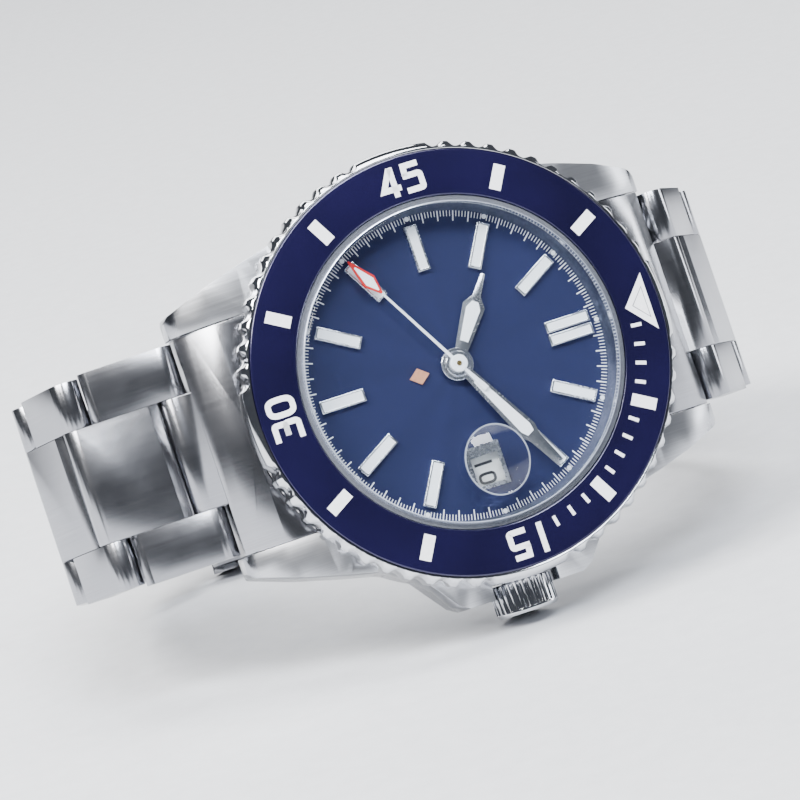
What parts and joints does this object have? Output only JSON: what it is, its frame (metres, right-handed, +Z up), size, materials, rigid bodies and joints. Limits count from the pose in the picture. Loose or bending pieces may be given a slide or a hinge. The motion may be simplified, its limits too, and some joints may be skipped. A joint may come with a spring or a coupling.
{
  "type": "dive watch",
  "caption": "Steel dive watch with a notched turning bezel, domed date lens and three-row folding-clasp bracelet, resting on its crown side.",
  "frame": {"origin": "centre of the bounding box, on the surface the watch rests on", "axes": "+Z up, +X towards 12 o'clock; the dial faces -Y and leans back by 16.9 degrees, so the watch rests on its crown and clasp edge"},
  "size_m": [0.0722, 0.0614, 0.0464],
  "materials": {
    "steel": "polished and brushed",
    "hardened_steel": "satin",
    "polished": "polished",
    "red_enamel": "gloss",
    "rose_gold": "polished",
    "dial_blue": "sunburst satin",
    "ceramic_blue": "gloss",
    "lume_white": "matte",
    "sapphire": "clear",
    "gasket": "matte",
    "plated_brass": "rhodium plated",
    "wheel_brass": "brushed",
    "date_white": "matte",
    "ruby": "polished"
  },
  "bodies": {
    "case": {"case_middle": "steel", "case_back": "steel", "back_gasket": "gasket", "crystal": "sapphire", "crystal_gasket": "gasket", "date_magnifier": "sapphire", "chapter_ring": "steel", "bezel_wire": "hardened_steel", "click_spring": "hardened_steel", "dial": "dial_blue", "hour_markers": "polished", "marker_lume": "lume_white", "dial_emblem": "rose_gold", "crown_tube": "steel", "movement_ring": "plated_brass", "main_plate": "plated_brass", "train_bridge": "plated_brass", "balance_cock": "plated_brass", "jewels": "ruby", "bridge_screws": "hardened_steel", "hairspring": "hardened_steel", "end_link_6": "steel", "end_link_12": "steel", "spring_bars": "hardened_steel"},
    "bezel": {"bezel_ring": "steel", "bezel_insert": "ceramic_blue", "bezel_marks": "lume_white"},
    "detent": {"stem_detent": "hardened_steel"},
    "crown_set": {"crown": "steel", "winding_stem": "hardened_steel"},
    "minute_set": {"centre_wheel": "wheel_brass", "minute_hand": "polished"},
    "hour_set": {"hour_wheel": "wheel_brass", "hour_hand": "polished"},
    "second_set": {"fourth_wheel": "wheel_brass", "second_hand": "red_enamel"},
    "third": {"third_wheel": "wheel_brass"},
    "escape": {"escape_wheel": "hardened_steel"},
    "pallet": {"pallet_fork": "hardened_steel"},
    "balance": {"balance_wheel": "wheel_brass"},
    "barrel_set": {"barrel": "wheel_brass", "mainspring": "hardened_steel"},
    "minute_work": {"minute_wheel": "wheel_brass"},
    "calendar": {"date_disc": "date_white"},
    "rotor_set": {"rotor": "plated_brass"},
    "link_6_1_set": {"link_6_1": "steel"},
    "link_6_2_set": {"link_6_2": "steel"},
    "link_6_3_set": {"link_6_3": "steel"},
    "link_6_4_set": {"link_6_4": "steel"},
    "link_6_5_set": {"link_6_5": "steel"},
    "link_6_6_set": {"link_6_6": "steel"},
    "link_12_1_set": {"link_12_1": "steel"},
    "link_12_2_set": {"link_12_2": "steel"},
    "link_12_3_set": {"link_12_3": "steel"},
    "link_12_4_set": {"link_12_4": "steel"},
    "link_12_5_set": {"link_12_5": "steel"},
    "cover": {"clasp_cover": "steel"},
    "lock": {"clasp_lock": "steel"},
    "blade_long": {"clasp_blade_long": "steel"},
    "blade_short": {"clasp_blade_short": "steel"}
  },
  "joints": [
    {"name": "bezel_turn", "type": "hinge", "parent": "case", "child": "bezel", "pos_m": [0.0031, -0.02266, 0.02555], "axis": [0, -0.9566, 0.2913], "continuous": true},
    {"name": "crown_pull", "type": "slide", "parent": "case", "child": "detent", "axis": [0, -0.2913, -0.9566], "range_m": [0, 0.0016]},
    {"name": "crown_turn", "type": "hinge", "parent": "detent", "child": "crown_set", "pos_m": [0.0031, -0.02428, 0.00513], "axis": [0, -0.2913, -0.9566], "continuous": true},
    {"name": "minute_turn", "type": "hinge", "parent": "case", "child": "minute_set", "pos_m": [0.0031, -0.02075, 0.02497], "axis": [0, -0.9566, 0.2913], "continuous": true},
    {"name": "hour_turn", "type": "hinge", "parent": "case", "child": "hour_set", "pos_m": [0.0031, -0.0217, 0.02526], "axis": [0, -0.9566, 0.2913], "continuous": true},
    {"name": "second_turn", "type": "hinge", "parent": "case", "child": "second_set", "pos_m": [0.0031, -0.01883, 0.02438], "axis": [0, -0.9566, 0.2913], "continuous": true},
    {"name": "third_wheel_turn", "type": "hinge", "parent": "case", "child": "third", "pos_m": [0.00467, -0.02009, 0.02025], "axis": [0, -0.9566, 0.2913], "continuous": true},
    {"name": "escape_wheel_turn", "type": "hinge", "parent": "case", "child": "escape", "pos_m": [-0.00024, -0.01919, 0.02322], "axis": [0, -0.9566, 0.2913], "continuous": true},
    {"name": "barrel_turn", "type": "hinge", "parent": "case", "child": "barrel_set", "pos_m": [0.00515, -0.01719, 0.02978], "axis": [0, -0.9566, 0.2913], "continuous": true},
    {"name": "minute_wheel_turn", "type": "hinge", "parent": "case", "child": "minute_work", "pos_m": [0.00072, -0.02033, 0.02839], "axis": [0, -0.9566, 0.2913], "continuous": true},
    {"name": "pallet_swing", "type": "hinge", "parent": "case", "child": "pallet", "pos_m": [-0.00216, -0.01976, 0.02134], "axis": [0, -0.9566, 0.2913], "range_deg": [-5, 5]},
    {"name": "balance_swing", "type": "hinge", "parent": "case", "child": "balance", "pos_m": [-0.0037, -0.01927, 0.01954], "axis": [0, -0.9566, 0.2913], "range_deg": [-140, 140]},
    {"name": "date_disc_turn", "type": "hinge", "parent": "case", "child": "calendar", "pos_m": [0.0031, -0.02142, 0.02517], "axis": [0, -0.9566, 0.2913], "continuous": true},
    {"name": "rotor_turn", "type": "hinge", "parent": "case", "child": "rotor_set", "pos_m": [0.0031, -0.01596, 0.02351], "axis": [0, -0.9566, 0.2913], "continuous": true},
    {"name": "link_6_1_swing", "type": "hinge", "parent": "case", "child": "link_6_1_set", "pos_m": [-0.0228, -0.01568, 0.02342], "axis": [0, 0.2913, 0.9566], "range_deg": [0, 18]},
    {"name": "link_6_2_swing", "type": "hinge", "parent": "link_6_1_set", "child": "link_6_2_set", "pos_m": [-0.03209, -0.01379, 0.02285], "axis": [0, 0.2913, 0.9566], "range_deg": [0, 71]},
    {"name": "link_6_3_swing", "type": "hinge", "parent": "link_6_2_set", "child": "link_6_3_set", "pos_m": [-0.03455, -0.00501, 0.02017], "axis": [0, 0.2913, 0.9566], "range_deg": [0, 37]},
    {"name": "link_6_4_swing", "type": "hinge", "parent": "link_6_3_set", "child": "link_6_4_set", "pos_m": [-0.03226, 0.00381, 0.01749], "axis": [0, 0.2913, 0.9566], "range_deg": [0, 12]},
    {"name": "link_6_5_swing", "type": "hinge", "parent": "link_6_4_set", "child": "link_6_5_set", "pos_m": [-0.02932, 0.01245, 0.01486], "axis": [0, 0.2913, 0.9566], "range_deg": [0, 18]},
    {"name": "link_6_6_swing", "type": "hinge", "parent": "link_6_5_set", "child": "link_6_6_set", "pos_m": [-0.02486, 0.02048, 0.01241], "axis": [0, 0.2913, 0.9566], "range_deg": [0, 45.26]},
    {"name": "link_12_1_swing", "type": "hinge", "parent": "case", "child": "link_12_1_set", "pos_m": [0.029, -0.01568, 0.02342], "axis": [0, -0.2913, -0.9566], "range_deg": [0, 65]},
    {"name": "link_12_2_swing", "type": "hinge", "parent": "link_12_1_set", "child": "link_12_2_set", "pos_m": [0.03389, -0.00789, 0.02105], "axis": [0, -0.2913, -0.9566], "range_deg": [0, 35]},
    {"name": "link_12_3_swing", "type": "hinge", "parent": "link_12_2_set", "child": "link_12_3_set", "pos_m": [0.03455, 0.00118, 0.01829], "axis": [0, -0.2913, -0.9566], "range_deg": [0, 22]},
    {"name": "link_12_4_swing", "type": "hinge", "parent": "link_12_3_set", "child": "link_12_4_set", "pos_m": [0.0329, 0.01013, 0.01556], "axis": [0, -0.2913, -0.9566], "range_deg": [0, 22]},
    {"name": "link_12_5_swing", "type": "hinge", "parent": "link_12_4_set", "child": "link_12_5_set", "pos_m": [0.02904, 0.01843, 0.01304], "axis": [0, -0.2913, -0.9566], "range_deg": [0, 33.94]},
    {"name": "clasp_swing", "type": "hinge", "parent": "link_12_5_set", "child": "cover", "pos_m": [0.02177, 0.02428, 0.01126], "axis": [0, -0.2913, -0.9566], "range_deg": [0, 44.06]},
    {"name": "lock_open", "type": "hinge", "parent": "cover", "child": "lock", "pos_m": [-0.00423, 0.02562, 0.01085], "axis": [0, -0.2913, -0.9566], "range_deg": [0, 75]},
    {"name": "blade_open", "type": "hinge", "parent": "cover", "child": "blade_long", "pos_m": [-0.01303, 0.02485, 0.01108], "axis": [0, -0.2913, -0.9566], "range_deg": [0, 30]},
    {"name": "blade_fold", "type": "hinge", "parent": "blade_long", "child": "blade_short", "pos_m": [0.01527, 0.02428, 0.01126], "axis": [0, -0.2913, -0.9566], "range_deg": [-60, 0]}
  ],
  "couplings": [
    {"joint": "hour_turn", "follows": "minute_turn", "ratio": 0.083333},
    {"joint": "second_turn", "follows": "minute_turn", "ratio": 60},
    {"joint": "third_wheel_turn", "follows": "minute_turn", "ratio": -8},
    {"joint": "escape_wheel_turn", "follows": "minute_turn", "ratio": -600},
    {"joint": "barrel_turn", "follows": "minute_turn", "ratio": -0.12903},
    {"joint": "minute_wheel_turn", "follows": "minute_turn", "ratio": -0.33333},
    {"joint": "blade_fold", "follows": "blade_open", "ratio": -2}
  ]
}
